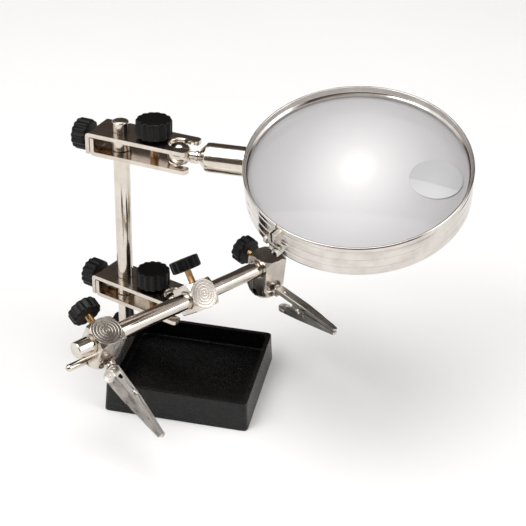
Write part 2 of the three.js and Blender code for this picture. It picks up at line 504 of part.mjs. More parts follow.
function makeClip(block, prefix, turn) {
  const jawNormal = [Math.sin(degrees(turn)), 0, Math.cos(degrees(turn))];
  const clip = frameAt(block, [0, -STEM_OFFSET, -STEM_DROP], [0, -1, 0], jawNormal);

  // The stem turns in the block, and the pin runs in the groove that keeps it there.
  const groove = -STEM_OFFSET;
  const stem = turned([[0, -6.2], [STEM_RADIUS, -6.2], [STEM_RADIUS, groove - 2.6],
    [STEM_WAIST, groove - 2.6], [STEM_WAIST, groove + 2.6], [STEM_RADIUS, groove + 2.6], [STEM_RADIUS, 2.4],
    [STEM_NECK, 2.8], [STEM_NECK, 5.2], [STEM_FLANGE, 5.2], [STEM_FLANGE, 6.9], [RIVET_RADIUS, 6.9], [RIVET_RADIUS, 8.3], [1.7, 8.3], [1.4, 9.2], [0, 9.2]], 16);
  add(clip, prefix + "_clip_stem", alongX(stem), NICKEL);

  const tail = 7.2;
  const knee = PIVOT_X + 2;
  const edge = 0.1; // height of the held jaw's lower edge
  const wallProfile = [[tail, JAW_TOP], [tail, JAW_TOP - SHEET], [9.5, 0.8], [11, edge], [20.8, edge], [21.6, 1],
    [26.4, 1], [27.2, edge], [CLIP_TIP, edge], [CLIP_TIP, JAW_TIP_TOP], [knee, JAW_TOP]];
  const hollowProfile = [[tail - 2, JAW_TOP - SHEET], [tail - 2, -3], [CLIP_TIP, -3], [CLIP_TIP, JAW_TIP_TOP - SHEET],
    [knee, JAW_TOP - SHEET]];
  const shell = slab(clipPlan(tail, 0), -1, JAW_TOP)
    .intersect(sideSlab(wallProfile, -5, 5))
    .subtract(slab(clipPlan(tail - 2, SHEET), -2, JAW_TOP).intersect(sideSlab(hollowProfile, -5, 5)));
  const earProfile = [[20, JAW_TOP - 0.4], [21.2, PIVOT_Z - 1.9], [26.8, PIVOT_Z - 1.9], [28, JAW_TOP - 0.4]];
  const ear = sideSlab(earProfile, 0.6, 1.3);
  const tab = box(tail, tail + SHEET, -2, 2, -2.2, JAW_TOP);
  const held = shell.add(ear).add(ear.mirror([0, 1, 0])).add(tab)
    .subtract(rodX(RIVET_RADIUS + GAP, tail - 1, tail + 1.1, 16))
    .subtract(rodZ(JAW_HOLE_RADIUS, 0, 4).translate([JAW_HOLE_X, 0, 0]))
    .subtract(rodY(PIVOT_RADIUS + PIVOT_CLEARANCE, -4, 4, 20).translate([PIVOT_X, 0, PIVOT_Z]));
  add(clip, prefix + "_held_jaw", held, NICKEL);

  // The lever jaw is a channel that opens towards the held jaw, with a round thumb pad.
  const back = -1.9; // height of the lever jaw's back at the tip
  const leverProfile = [[CLIP_TIP, -0.3], [PIVOT_X + 1.5, -0.3], [16.5, -2.9], [14.4, -7.2], [14.4, -8.2],
    [CLIP_TIP, back]];
  const insideProfile = [[CLIP_TIP + 1, 0.6], [10, 0.6], [10, SHEET - 8], [CLIP_TIP + 1, back + SHEET + 0.2]];
  const outside = slab(clipPlan(13, 0), -12, 2).intersect(sideSlab(leverProfile, -5, 5));
  const channel = outside.subtract(slab(clipPlan(9, SHEET), -12, 2).intersect(sideSlab(insideProfile, -5, 5)));
  const thumb = turned([[0, -0.9], [PAD_RADIUS, -0.9], [PAD_RADIUS, 1.1], [PAD_RADIUS - 0.9, 1.1],
    [PAD_RADIUS - 1.3, 0.3], [0, 0.3]]).translate([THUMB_X, 0, THUMB_Z]);
  const bore = rodY(PIVOT_RADIUS + PIVOT_CLEARANCE, -5, 5, 20).translate([PIVOT_X, 0, PIVOT_Z]);
  const ears = sideSlab([[21.6, -4], [22.3, PIVOT_Z], [22.7, -0.1], [23.5, 0.6], [24.5, 0.6], [25.3, -0.1],
    [25.7, PIVOT_Z], [28, -3]], JAW_WIDTH / 2 - SHEET, JAW_WIDTH / 2);
  const lever = channel.add(thumb).add(ears).add(ears.mirror([0, 1, 0])).subtract(bore);
  add(clip, prefix + "_lever_jaw", lever, NICKEL);

  const headY = JAW_WIDTH / 2 + GAP;
  const pin = turned([[0, -headY - 0.9], [PIVOT_HEAD, -headY - 0.7], [PIVOT_HEAD, -headY],
    [PIVOT_RADIUS, -headY], [PIVOT_RADIUS, headY], [PIVOT_HEAD, headY], [PIVOT_HEAD, headY + 0.7],
    [0, headY + 0.9]], 16);
  add(clip, prefix + "_jaw_pivot", alongY(pin).translate([PIVOT_X, 0, PIVOT_Z]), NICKEL);
  const coil = rodZ(SPRING_RADIUS, -0.4, 0.4, 20).subtract(rodZ(PIVOT_RADIUS + 0.2, -2, 2, 20));
  add(clip, prefix + "_jaw_spring", alongY(coil).translate([PIVOT_X, 0, PIVOT_Z]), SPRING_STEEL);
}

// An end block: outward is -1 for the left one and 1 for the right one, and its pin stands out by proud.
function makeEnd(parent, prefix, middle, distance, tilt, outward, proud, clipTurn) {
  const group = frameAt(parent, offset(middle, distance, BAR_DIRECTION), BAR_DIRECTION, blockAxis(tilt));
  const nose = [[0, -END_BLOCK_NOSE], [4.2, -END_BLOCK_NOSE], [6.3, -16.2], [7.8, -14.2], [8.9, -11.6],
    [BLOCK_CORNER_RADIUS, -8.8]];
  const half = BLOCK_SIDE / 2;
  const bore = rodY(STEM_RADIUS + GAP, -8, 3.6, 28);
  const mouth = alongY(turned([[0, -half - 1], [4.9, -half - 1], [4.6, -half], [4, -4.2], [0, -4.2]], 32));
  const pinHole = rodX(PIN_RADIUS + GAP, -12, 12, 24).translate([0, 0, -PIN_DROP]);
  const block = squareBlock(nose)
    .subtract(bore.add(mouth).translate([0, 0, -STEM_DROP]))
    .subtract(pinHole);
  add(group, prefix + "_block", block, NICKEL);
  makeThumbscrew(group, prefix);

  const reach = half + proud;
  const pin = turned([[0, -half + 0.6], [PIN_RADIUS, -half + 0.6], [PIN_RADIUS, reach - 1.2],
    [PIN_RADIUS - 0.5, reach - 0.4], [PIN_RADIUS - 1.2, reach], [0, reach]], 24);
  const placed = alongX(outward > 0 ? pin : pin.mirror([0, 0, 1])).translate([0, 0, -PIN_DROP]);
  add(group, prefix + "_stem_pin", placed, NICKEL);
  makeClip(group, prefix, clipTurn);
}

// ---------------------------------------------------------------- assembly
const clampStand = new THREE.Group();
makeBase(clampStand);
const upperBall = makeClamp(clampStand, "upper", UPPER_CLAMP_Z, UPPER_CLAMP_YAW);
const lowerBall = makeClamp(clampStand, "lower", LOWER_CLAMP_Z, LOWER_CLAMP_YAW);
makeMagnifier(clampStand, upperBall);
const middle = makeCentre(clampStand, lowerBall);
makeEnd(clampStand, "left", middle, LEFT_BLOCK_X, LEFT_BLOCK_TILT, -1, LEFT_PIN_PROUD, LEFT_CLIP_TURN);
makeEnd(clampStand, "right", middle, RIGHT_BLOCK_X, RIGHT_BLOCK_TILT, 1, RIGHT_PIN_PROUD, RIGHT_CLIP_TURN);

export default clampStand;
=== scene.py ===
import math

import bmesh
import bpy
from mathutils import Matrix, Vector


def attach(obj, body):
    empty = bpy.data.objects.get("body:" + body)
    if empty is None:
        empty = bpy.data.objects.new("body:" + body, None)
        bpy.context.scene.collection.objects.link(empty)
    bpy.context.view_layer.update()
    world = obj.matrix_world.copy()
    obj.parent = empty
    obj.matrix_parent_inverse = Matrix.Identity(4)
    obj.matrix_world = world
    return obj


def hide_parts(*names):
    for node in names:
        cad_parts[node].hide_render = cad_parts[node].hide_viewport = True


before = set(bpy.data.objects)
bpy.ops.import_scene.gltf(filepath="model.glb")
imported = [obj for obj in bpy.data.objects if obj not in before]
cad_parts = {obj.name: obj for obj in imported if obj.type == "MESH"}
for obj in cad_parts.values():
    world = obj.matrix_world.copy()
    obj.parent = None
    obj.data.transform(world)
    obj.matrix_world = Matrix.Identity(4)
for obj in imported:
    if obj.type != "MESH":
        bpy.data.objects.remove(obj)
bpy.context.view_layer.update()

MM = 0.001
Z = Vector((0, 0, 1))


# ---------------------------------------------------------------- places, in millimetres
def turned_from_x(degrees):
    return Vector((math.cos(math.radians(degrees)), math.sin(math.radians(degrees)), 0))


def lean(tilt):
    a = math.radians(tilt)
    return math.cos(a) * Z + math.sin(a) * BAR_ACROSS


def place(origin, x, z):
    """The matrix of a frame at a point in millimetres, with its X and Z along the given directions."""
    x, z = Vector(x).normalized(), Vector(z).normalized()
    y = z.cross(x).normalized()
    x = y.cross(z)
    matrix = Matrix((x, y, z)).transposed().to_4x4()
    matrix.translation = Vector(origin) * MM
    return matrix


def at(matrix, x=0.0, y=0.0, z=0.0, turn=None):
    """A frame moved by x, y, z millimetres in its own axes, then turned by (degrees, axis) if given."""
    moved = matrix @ Matrix.Translation(Vector((x, y, z)) * MM)
    return moved @ Matrix.Rotation(math.radians(turn[0]), 4, turn[1]) if turn else moved


POST = Vector((-38, 13.5, 0))
BALL_X = 30.5  # from the post's axis to a ball's middle
BALL_SCREW_X = 17.5  # from the post's axis to the screw that squeezes the ball
UPPER_HEIGHT, UPPER_TURN = 123.4, -11
LOWER_HEIGHT, LOWER_TURN = 44.4, -21
UPPER = place(POST + UPPER_HEIGHT * Z, turned_from_x(UPPER_TURN), Z)
LOWER = place(POST + LOWER_HEIGHT * Z, turned_from_x(LOWER_TURN), Z)
UPPER_BALL = POST + UPPER_HEIGHT * Z + BALL_X * turned_from_x(UPPER_TURN)
LOWER_BALL = POST + LOWER_HEIGHT * Z + BALL_X * turned_from_x(LOWER_TURN)
RIM_X = 83.5  # from the upper ball's middle to the lens's
MAGNIFIER = place(UPPER_BALL, (0.999, -0.039, 0.016), (-0.028, -0.333, 0.942))
LENS = at(MAGNIFIER, RIM_X)
BAR = turned_from_x(54.6)
BAR_ACROSS = Vector((BAR.y, -BAR.x, 0))
STUD_LENGTH, STUD_LEAN = 22, 54  # from the lower ball's middle to the crossbar's axis
MIDDLE = LOWER_BALL + STUD_LENGTH * lean(STUD_LEAN)
CENTRE = place(MIDDLE, BAR, lean(STUD_LEAN))
LEFT = place(MIDDLE - 55.2 * BAR, BAR, lean(25.6))
RIGHT = place(MIDDLE + 45.3 * BAR, BAR, lean(5.2))
ROW = Matrix.Identity(4)

# ---------------------------------------------------------------- sizes that several pieces share
ROD_RADIUS = 3.98  # the post and the crossbar
BALL_RADIUS = 5.75
JAW_HALF, PLATE_OUT, PLATE_IN, SHEET = 9.5, 5.6, 3.6, 2.0  # half width, the plates' faces, thickness
BALL_THREAD, THUMB_THREAD = 1.95, 1.7  # crest radii
RIM_OUT, RIM_SPLIT, RIM_SCREW = 51.38, 238, (53.0, 0, -2)
BLOCK_HALF, FACE_Z = 6.8, 6.0
CLIP_Z, STEM_PIN_Z = -10.5, -14.2
PIVOT = (24, 0, -1)  # a clip's rivet, in the clip's frame
CLIP_SHEET, CLIP_END = 0.7, 47.5


# ---------------------------------------------------------------- outlines
def rounded(points, steps=5, closed=False):
    """A chain of (x, y) or (x, y, radius) points, with an arc at each point that has a radius."""
    out = []
    n = len(points)
    for i, p in enumerate(points):
        if len(p) < 3 or (not closed and i in (0, n - 1)):
            out.append((p[0], p[1]))
            continue
        here = Vector(p[:2])
        before = Vector(points[i - 1][:2]) - here
        after = Vector(points[(i + 1) % n][:2]) - here
        angle = before.angle(after)
        reach = min(p[2] / math.tan(angle / 2), before.length * 0.49, after.length * 0.49)
        a, b = here + before.normalized() * reach, here + after.normalized() * reach
        for k in range(steps + 1):
            t = k / steps
            out.append(tuple(a * (1 - t) ** 2 + here * (2 * t * (1 - t)) + b * t ** 2))
    return out


def thread(radius, z0, z1, pitch, depth):
    """A screw's profile: crests and roots one pitch apart, between two chamfered ends."""
    out = [(0, z0), (radius - depth, z0)]
    z = z0 + pitch * 0.3
    while z < z1 - pitch:
        out += [(radius - depth, z), (radius, z + pitch * 0.36),
                (radius, z + pitch * 0.5), (radius - depth, z + pitch * 0.86)]
        z += pitch
    return out + [(radius - depth, z1), (0, z1)]


def turned_face(radius, z, pitch=1.45, depth=0.034):
    """Rings that a lathe tool leaves on a face, from the edge to a small boss at the axis."""
    out = [(radius, z - 0.1), (radius - 0.1, z)]
    r = radius - 0.1
    while r > 0.12:
        share = (r / pitch) % 1
        groove = math.exp(-((share - 0.5) / 0.13) ** 2)
        fine = 0.5 - 0.5 * math.cos(2 * math.pi * r / 0.36)
        out.append((r, z - depth * (0.85 * groove + 0.12 * fine)))
        r -= 0.045
    return out + [(0, z - 0.02)]


# ---------------------------------------------------------------- solids, in millimetres
def mesh_of(bm):
    bmesh.ops.remove_doubles(bm, verts=bm.verts, dist=1e-5)
    bmesh.ops.recalc_face_normals(bm, faces=bm.faces)
    mesh = bpy.data.meshes.new("solid")
    bm.to_mesh(mesh)
    bm.free()
    return mesh


def circle(bm, radius, z, count):
    """A ring of vertices about Z."""
    angles = [2 * math.pi * k / count for k in range(count)]
    return [bm.verts.new((radius * math.cos(a), radius * math.sin(a), z)) for a in angles]


def skin(bm, rings):
    """Faces between each ring of vertices and the next."""
    for a, b in zip(rings, rings[1:]):
        for k in range(len(a)):
            m = (k + 1) % len(a)
            bm.faces.new((a[k], a[m], b[m], b[k]))


def lathe(profile, segments=72, closed=False):
    """A solid of revolution about Z from (radius, height) points."""
    bm = bmesh.new()
    rings = []
    for r, z in profile:
        if r < 1e-6:
            rings.append([bm.verts.new((0, 0, z))])
        else:
            rings.append(circle(bm, r, z, segments))
    pairs = list(zip(rings, rings[1:])) + ([(rings[-1], rings[0])] if closed else [])
    for a, b in pairs:
        for k in range(segments):
            m = (k + 1) % segments
            corner = [a[k % len(a)], a[m % len(a)], b[m % len(b)], b[k % len(b)]]
            face = list(dict.fromkeys(corner))
            if len(face) > 2:
                bm.faces.new(face)
    return mesh_of(bm)


def prism(outline, z0, z1, flare=0.0, middle=(0, 0)):
    """A flat outline raised from z0 to z1; its foot leans out by flare."""
    bm = bmesh.new()
    mx, my = middle
    low = [bm.verts.new((x + math.copysign(flare, x - mx), y + math.copysign(flare, y - my), z0))
           for x, y in outline]
    high = [bm.verts.new((x, y, z1)) for x, y in outline]
    bm.faces.new(low[::-1])
    bm.faces.new(high)
    skin(bm, [low, high])
    return mesh_of(bm)


def side_prism(profile, y0, y1):
    """A profile of (x, z) points spread from y0 to y1."""
    mesh = prism([(x, -z) for x, z in rounded(profile, 5, True)], y0, y1)
    mesh.transform(Matrix.Rotation(math.radians(-90), 4, "X"))
    return mesh


def turn(mesh, degrees, axis):
    mesh.transform(Matrix.Rotation(math.radians(degrees), 4, axis))
    return mesh


def move(mesh, x=0.0, y=0.0, z=0.0):
    mesh.transform(Matrix.Translation((x, y, z)))
    return mesh


def along_x(mesh):
    return turn(mesh, 90, "Y")


def along_y(mesh):
    return turn(mesh, -90, "X")


def rod(radius, z0, z1, segments=48):
    return lathe([(0, z0), (radius, z0), (radius, z1), (0, z1)], segments)


def rectangle(x0, x1, y0, y1, corner):
    return rounded([(x1, y1, corner), (x0, y1, corner), (x0, y0, corner), (x1, y0, corner)], 6, True)


def block(x0, x1, y0, y1, z0, z1):
    return prism([(x0, y0), (x1, y0), (x1, y1), (x0, y1)], z0, z1)


def applied(mesh, *modifiers):
    """The mesh with modifiers, each (type, settings), made real."""
    holder = bpy.data.objects.new("holder", mesh)
    bpy.context.scene.collection.objects.link(holder)
    for kind, settings in modifiers:
        modifier = holder.modifiers.new(kind, kind)
        for key, value in settings.items():
            setattr(modifier, key, value)
    made = bpy.data.meshes.new_from_object(holder.evaluated_get(bpy.context.evaluated_depsgraph_get()))
    bpy.data.objects.remove(holder)
    return made


def combine(mesh, operation, *others):
    for other in others:
        tool = bpy.data.objects.new("tool", other)
        bpy.context.scene.collection.objects.link(tool)
        mesh = applied(mesh, ("BOOLEAN", {"operation": operation, "solver": "EXACT", "object": tool}))
        bpy.data.objects.remove(tool)
    return mesh


def cut(mesh, *others):
    return combine(mesh, "DIFFERENCE", *others)


def join(mesh, *others):
    return combine(mesh, "UNION", *others)


def meet(mesh, *others):
    return combine(mesh, "INTERSECT", *others)


def soften(mesh, width, segments=2, angle=32):
    """Rounds the edges that are sharper than angle."""
    return applied(mesh, ("WELD", {"merge_threshold": 0.004}), ("BEVEL", {
        "width": width, "segments": segments, "limit_method": "ANGLE", "angle_limit": math.radians(angle),
        "use_clamp_overlap": True, "miter_outer": "MITER_ARC"}))


def finished(name, mesh, matrix, body, material, nodes, sharp=38):
    """The mesh, in millimetres, as a piece of the object."""
    mesh.transform(Matrix.Scale(MM, 4))
    mesh.name = name
    mesh.materials.clear()
    mesh.materials.append(material)
    mesh.shade_smooth()
    mesh.set_sharp_from_angle(angle=math.radians(sharp))
    piece = bpy.data.objects.new(name, mesh)
    bpy.context.scene.collection.objects.link(piece)
    piece.matrix_world = matrix
    weighted = piece.modifiers.new("normals", "WEIGHTED_NORMAL")
    weighted.keep_sharp = True
    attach(piece, body)
    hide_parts(*nodes)
    return piece


# ---------------------------------------------------------------- materials
class Shader:
    """A node material with a few shorthands."""

    def __init__(self, name):
        self.material = bpy.data.materials.new(name)
        self.material.use_nodes = True
        self.tree = self.material.node_tree
        self.main = self.tree.nodes["Principled BSDF"]
        self.space = self.node("ShaderNodeTexCoord").outputs["Object"]

    def node(self, kind, **values):
        made = self.tree.nodes.new(kind)
        for key, value in values.items():
            if key in made.inputs:
                made.inputs[key].default_value = value
            else:
                setattr(made, key, value)
        return made

    def link(self, a, b):
        self.tree.links.new(a, b)

    def noise(self, scale, detail=3.0, stretch=(1, 1, 1), roughness=0.55):
        mapping = self.node("ShaderNodeMapping")
        mapping.inputs["Scale"].default_value = stretch
        self.link(self.space, mapping.inputs["Vector"])
        made = self.node("ShaderNodeTexNoise", Scale=scale, Detail=detail, Roughness=roughness)
        self.link(mapping.outputs["Vector"], made.inputs["Vector"])
        return made.outputs["Fac"]

    def ramp(self, value, stops):
        made = self.node("ShaderNodeValToRGB")
        elements = made.color_ramp.elements
        while len(elements) < len(stops):
            elements.new(0.5)
        for element, (position, colour) in zip(elements, stops):
            element.position = position
            element.color = (*colour, 1) if len(colour) == 3 else colour
        self.link(value, made.inputs["Fac"])
        return made.outputs["Color"]

    def grey(self, value, low, high, start=0.3, end=0.7):
        return self.ramp(value, [(start, (low,) * 3), (end, (high,) * 3)])

    def math(self, operation, a, b):
        made = self.node("ShaderNodeMath", operation=operation)
        for socket, value in zip(made.inputs, (a, b)):
            if isinstance(value, (int, float)):
                socket.default_value = value
            else:
                self.link(value, socket)
        return made.outputs["Value"]

    def mix(self, share, a, b, **settings):
        """Colour a changed to or by colour b, by a share that is a number or another node's output."""
        made = self.node("ShaderNodeMix", data_type="RGBA", **settings)
        for socket, value in zip((0, 6, 7), (share, a, b)):
            if isinstance(value, (int, float, tuple)):
                made.inputs[socket].default_value = value
            else:
                self.link(value, made.inputs[socket])
        return made.outputs[2]

    def into(self, name, value):
        """Feeds an input of the main shader with a number or another node's output."""
        if isinstance(value, (int, float)):
            self.main.inputs[name].default_value = value
        else:
            self.link(value, self.main.inputs[name])

    def bump(self, height, strength, distance):
        made = self.node("ShaderNodeBump", Strength=strength, Distance=distance)
        self.link(height, made.inputs["Height"])
        self.into("Normal", made.outputs["Normal"])


def metal(name, colour, shade, stain_scale, stain_end):
    """A bare metal with faint staining."""
    s = Shader(name)
    s.into("Metallic", 1)
    s.into("Base Color", s.ramp(s.noise(stain_scale, 4), [(0.3, shade), (stain_end, colour)]))
    return s


def plated(name, colour, shade, rough, stretch, bump):
    """Plating: faint staining, uneven polish and hairlines along one direction."""
    s = metal(name, colour, shade, 140, 0.62)
    lines = s.noise(260, 5, stretch)
    polish = s.math("MULTIPLY", lines, s.noise(90, 3))
    s.into("Roughness", s.grey(polish, rough * 0.7, rough * 1.5, 0.12, 0.4))
    s.bump(s.math("ADD", lines, s.noise(1500, 2)), bump, HAIRLINE)
    return s.material


def turned_metal(name, colour, shade, rough):
    """Metal turned in a lathe: fine rings across its own axis, Z."""
    s = metal(name, colour, shade, 160, 0.65)
    rings = s.noise(1.0, 3, (60, 60, 5200))
    polish = s.math("MULTIPLY", rings, s.noise(120, 3))
    s.into("Roughness", s.grey(polish, rough * 0.7, rough * 1.6, 0.12, 0.4))
    s.bump(rings, 0.16, HAIRLINE)
    return s.material


def moulded(name):
    """Satin black moulded plastic: a fine skin and handled, shinier patches."""
    s = Shader(name)
    skin_colours = [(0.3, (0.0012, 0.0012, 0.0014)), (0.75, (0.0030, 0.0030, 0.0034))]
    s.into("Base Color", s.ramp(s.noise(500, 4), skin_colours))
    s.into("Roughness", s.grey(s.noise(260, 4), 0.30, 0.46))
    s.into("Specular IOR Level", 0.22)
    s.bump(s.math("ADD", s.noise(2600, 3), s.math("MULTIPLY", s.noise(700, 2), 1.5)), 0.28, 0.00006)
    return s.material


def enamelled_casting(name):
    """Black enamel over cast iron: the sand's grain shows through, with small bright chips and dust."""
    s = Shader(name)
    grain = s.noise(1100, 5, roughness=0.65)
    waves = s.noise(150, 3)
    chips = s.ramp(s.noise(900, 6, roughness=0.75), [(0.71, (0, 0, 0)), (0.80, (1, 1, 1))])
    base = s.ramp(waves, [(0.3, (0.0008, 0.0008, 0.0009)), (0.7, (0.0020, 0.0020, 0.0022))])
    s.into("Base Color", s.mix(chips, base, (0.035, 0.035, 0.037, 1)))
    s.into("Roughness", s.grey(grain, 0.22, 0.38))
    s.into("Specular IOR Level", 0.36)
    s.bump(s.math("ADD", grain, s.math("MULTIPLY", waves, 1.2)), 0.8, 0.0006)
    return s.material


def lens_glass(name, clear=0.22, edge=(0.46, 0.45, 0.465), middle=(1.0, 1.0, 1.0), reach=0.0498, lit=0.0):
    """Polished glass, not refracting, with painted light: a painted brightness that falls from its middle's
    colour at the axis to its edge's colour at reach metres. clear is the share that is seen through.
    lit brightens the near part of it with a painted highlight, past a slanted line."""
    s = Shader(name)
    flat = s.node("ShaderNodeVectorMath", operation="MULTIPLY")
    flat.inputs[1].default_value = (1, 0.72, 0)
    s.link(s.space, flat.inputs[0])
    length = s.node("ShaderNodeVectorMath", operation="LENGTH")
    s.link(flat.outputs["Vector"], length.inputs[0])
    radius = s.math("DIVIDE", length.outputs["Value"], reach)
    uneven = s.math("ADD", radius, s.math("MULTIPLY", s.math("SUBTRACT", s.noise(30, 2), 0.5), 0.02))
    # painted light: the share of the middle's colour, highest at the axis and none at the edge
    shares = ((0.0, 1.0), (0.09, 0.85), (0.21, 0.60), (0.42, 0.36), (0.64, 0.15), (0.93, 0.0))
    stops = [(r, tuple(e + share * (m - e) for e, m in zip(edge, middle))) for r, share in shares]
    colour = s.ramp(uneven, stops)
    # painted highlight: the near part made brighter, past a slanted line
    if lit:
        place_in = s.node("ShaderNodeSeparateXYZ")
        s.link(s.space, place_in.inputs[0])
        slant = s.math("ADD", place_in.outputs["Y"], s.math("MULTIPLY", place_in.outputs["X"], 0.16))
        near = s.ramp(s.math("MULTIPLY", slant, -1 / reach), [(0.26, (0, 0, 0)), (0.34, (lit,) * 3)])
        colour = s.mix(1, colour, near, blend_type="ADD")
    s.into("Base Color", colour)
    s.into("Roughness", s.grey(s.noise(60, 3), 0.03, 0.07))
    s.into("IOR", 1.5)
    s.into("Specular IOR Level", 0.25)
    through = s.node("ShaderNodeBsdfTransparent")
    mix = s.node("ShaderNodeMixShader")
    mix.inputs[0].default_value = clear
    s.link(s.main.outputs[0], mix.inputs[1])
    s.link(through.outputs[0], mix.inputs[2])
    s.link(mix.outputs[0], s.tree.nodes["Material Output"].inputs["Surface"])
    return s.material


HAIRLINE = 0.00003  # the height of a metal's fine marks, in metres
NICKEL = plated("nickel_plate", (0.70, 0.64, 0.575), (0.58, 0.515, 0.45), 0.15, (0.25, 3, 3), 0.06)
BLOCK_METAL = plated("nickel_block", (0.70, 0.645, 0.585), (0.60, 0.54, 0.48), 0.2, (3, 3, 0.4), 0.05)
RIM_METAL = plated("chrome_rim", (0.70, 0.665, 0.625), (0.58, 0.54, 0.50), 0.10, (1, 1, 6), 0.04)
ROD_METAL = turned_metal("chrome_rod", (0.73, 0.675, 0.61), (0.61, 0.55, 0.485), 0.12)
PRESSED = plated("nickel_sheet", (0.74, 0.705, 0.66), (0.60, 0.565, 0.52), 0.30, (0.2, 4, 4), 0.08)
FACED = turned_metal("nickel_face", (0.66, 0.615, 0.56), (0.53, 0.485, 0.435), 0.19)
BRASS = turned_metal("brass_screw", (0.58, 0.37, 0.19), (0.40, 0.23, 0.10), 0.26)
STEEL = turned_metal("spring_steel", (0.52, 0.50, 0.47), (0.36, 0.34, 0.31), 0.28)
BLACK = moulded("black_knob")
ENAMEL = enamelled_casting("black_casting")
# both lens materials are painted light: a brighter middle, and on the insert a painted highlight on its near
# part
GLASS = lens_glass("lens_glass")
INSERT_GLASS = lens_glass("lens_insert_glass", 0.25, (0.56, 0.56, 0.57), (0.60, 0.60, 0.61), 0.0125, 0.10)


# ---------------------------------------------------------------- base and post
def make_base():
    outer = prism(rectangle(-35, 35, -31.5, 31.5, 2.6), 0, 15, 0.9)
    pad = prism(rectangle(-49.5, -26.5, 2.0, 31.5, 2.6), 0, 15, 0.9, (-38, 16.75))
    hollow = prism(rectangle(-32.4, 32.4, -28.9, 28.9, 4), 4, 17, -2.2)
    tray = join(outer, pad)
    tray = soften(cut(tray, soften(hollow, 1.2, 3)), 0.75, 3, 30)
    hole = lathe([(0, 6), (4.15, 6), (4.15, 14.6), (4.9, 15.6), (0, 15.6)])
    under = lathe([(0, -1), (4.9, -1), (4.6, 0.4), (4.6, 3.4), (2.3, 3.4), (2.3, 7), (0, 7)])
    tray = cut(tray, move(hole, POST.x, POST.y), move(under, POST.x, POST.y))
    finished("base_tray_casting", tray, ROW, "root", ENAMEL, ["base_tray"], 50)
    post = lathe([(0, 6.3), (ROD_RADIUS, 6.3), (ROD_RADIUS, 133.3), (3.88, 133.7), (3.6, 133.98),
                  (3.3, 134.0), (0, 134.0)], 96)
    angles = [math.pi / 2 * k / 12 for k in range(13)]
    crown = [(3.32 * math.cos(a), 133.95 + 0.65 * math.sin(a)) for a in angles]
    cap = lathe([(0, 133.9), (3.32, 133.9)] + crown, 72)
    foot = at(ROW, POST.x, POST.y)
    finished("post_end", cap, foot, "root", FACED, ["post"], 60)
    finished("post_rod", post, foot, "root", ROD_METAL, ["post"])
    screw = lathe(rounded([(0, 0.5), (4.1, 0.5, 0.5), (4.1, 3, 0.2), (1.9, 3), (1.9, 12), (0, 12)]), 48)
    screw = cut(screw, block(-5, 5, -0.5, 0.5, 0, 1.5))
    finished("post_screw_head", screw, foot, "root", STEEL, ["post_fixing_screw"])


# ---------------------------------------------------------------- knobs and screws
def knob_mesh(radius, height, flutes):
    """A moulded knob: scalloped all round, with softened rims and a shallow dish in its face."""
    count = flutes * 10
    # up the side, as shares: height, radius and how deep the flutes are there
    levels = [(0.0, 0.87, 0.5), (0.03, 0.935, 0.75), (0.09, 0.98, 0.95), (0.16, 1.0, 1.0), (0.86, 1.0, 1.0),
              (0.93, 0.985, 0.97), (0.975, 0.95, 0.85), (0.993, 0.905, 0.6), (1.0, 0.86, 0.3)]
    face = [(0.80, 1.0), (0.74, 0.985), (0.70, 0.97), (0.30, 0.965), (0.05, 0.96)]  # radius and height
    bm = bmesh.new()
    rings = []
    for share, scale, depth in levels:
        ring = []
        for k in range(count):
            a = 2 * math.pi * k / count
            scallop = (0.5 - 0.5 * math.cos(flutes * a)) ** 1.4
            r = radius * scale - 0.10 * radius * depth * scallop
            ring.append(bm.verts.new((r * math.cos(a), r * math.sin(a), share * height)))
        rings.append(ring)
    rings += [circle(bm, radius * scale, share * height, count) for scale, share in face]
    skin(bm, rings)
    bm.faces.new(rings[-1])
    bm.faces.new(rings[0][::-1])
    return mesh_of(bm)


def make_knob(prefix, matrix, radius, height, flutes):
    finished(prefix + "_knob_moulding", knob_mesh(radius, height, flutes), matrix,
             prefix + "_knob", BLACK, [prefix + "_knob"], 60)


def make_screw(prefix, matrix, radius, z0, z1, pitch):
    finished(prefix + "_screw_thread", lathe(thread(radius, z0, z1, pitch, pitch * 0.32), 40), matrix,
             prefix + "_screw", BRASS, [prefix + "_screw"], 60)


# ---------------------------------------------------------------- ball clamps
def jaw_plan(x0):
    """The plan of a jaw: a plate with an open slot past the ball, between two rounded prongs."""
    half, slot, end = JAW_HALF, 4.3, 38
    return rounded([(x0, -half), (end, -half, 3.4), (end, -slot, 1.9), (BALL_X + 1, -slot),
                    (BALL_X + 1, slot), (end, slot, 1.9), (end, half, 3.4), (x0, half)], 6, True)


def clamp_jaw(side):
    """One pressed jaw. The upper one, side 1, has the outer flange, and the lower one, side -1, the inner."""
    back, foot = (-13.8, -5.0) if side > 0 else (-11.4, 3.2)
    out, inn = PLATE_OUT * side, PLATE_IN * side
    inside = back + SHEET
    profile = [(back, foot), (back, out, 2.3), (40, out), (40, inn), (inside, inn, 0.6), (inside, foot)]
    sheet = meet(side_prism(rounded(profile, 6, True), -JAW_HALF, JAW_HALF), prism(jaw_plan(-20), -8, 8))
    seat = lathe([(0, -8), (5.9, -8), (5.45, -5.6), (4.9, -5.0), (4.9, 5.0), (5.45, 5.6), (5.9, 8), (0, 8)])
    post_hole, screw_hole = rod(4.25, -9, 9, 64), move(rod(2.25, -9, 9), BALL_SCREW_X)
    sheet = cut(sheet, post_hole, screw_hole, move(seat, BALL_X), along_x(rod(2.25, -16, -6)))
    return soften(sheet, 0.28, 2, 40)


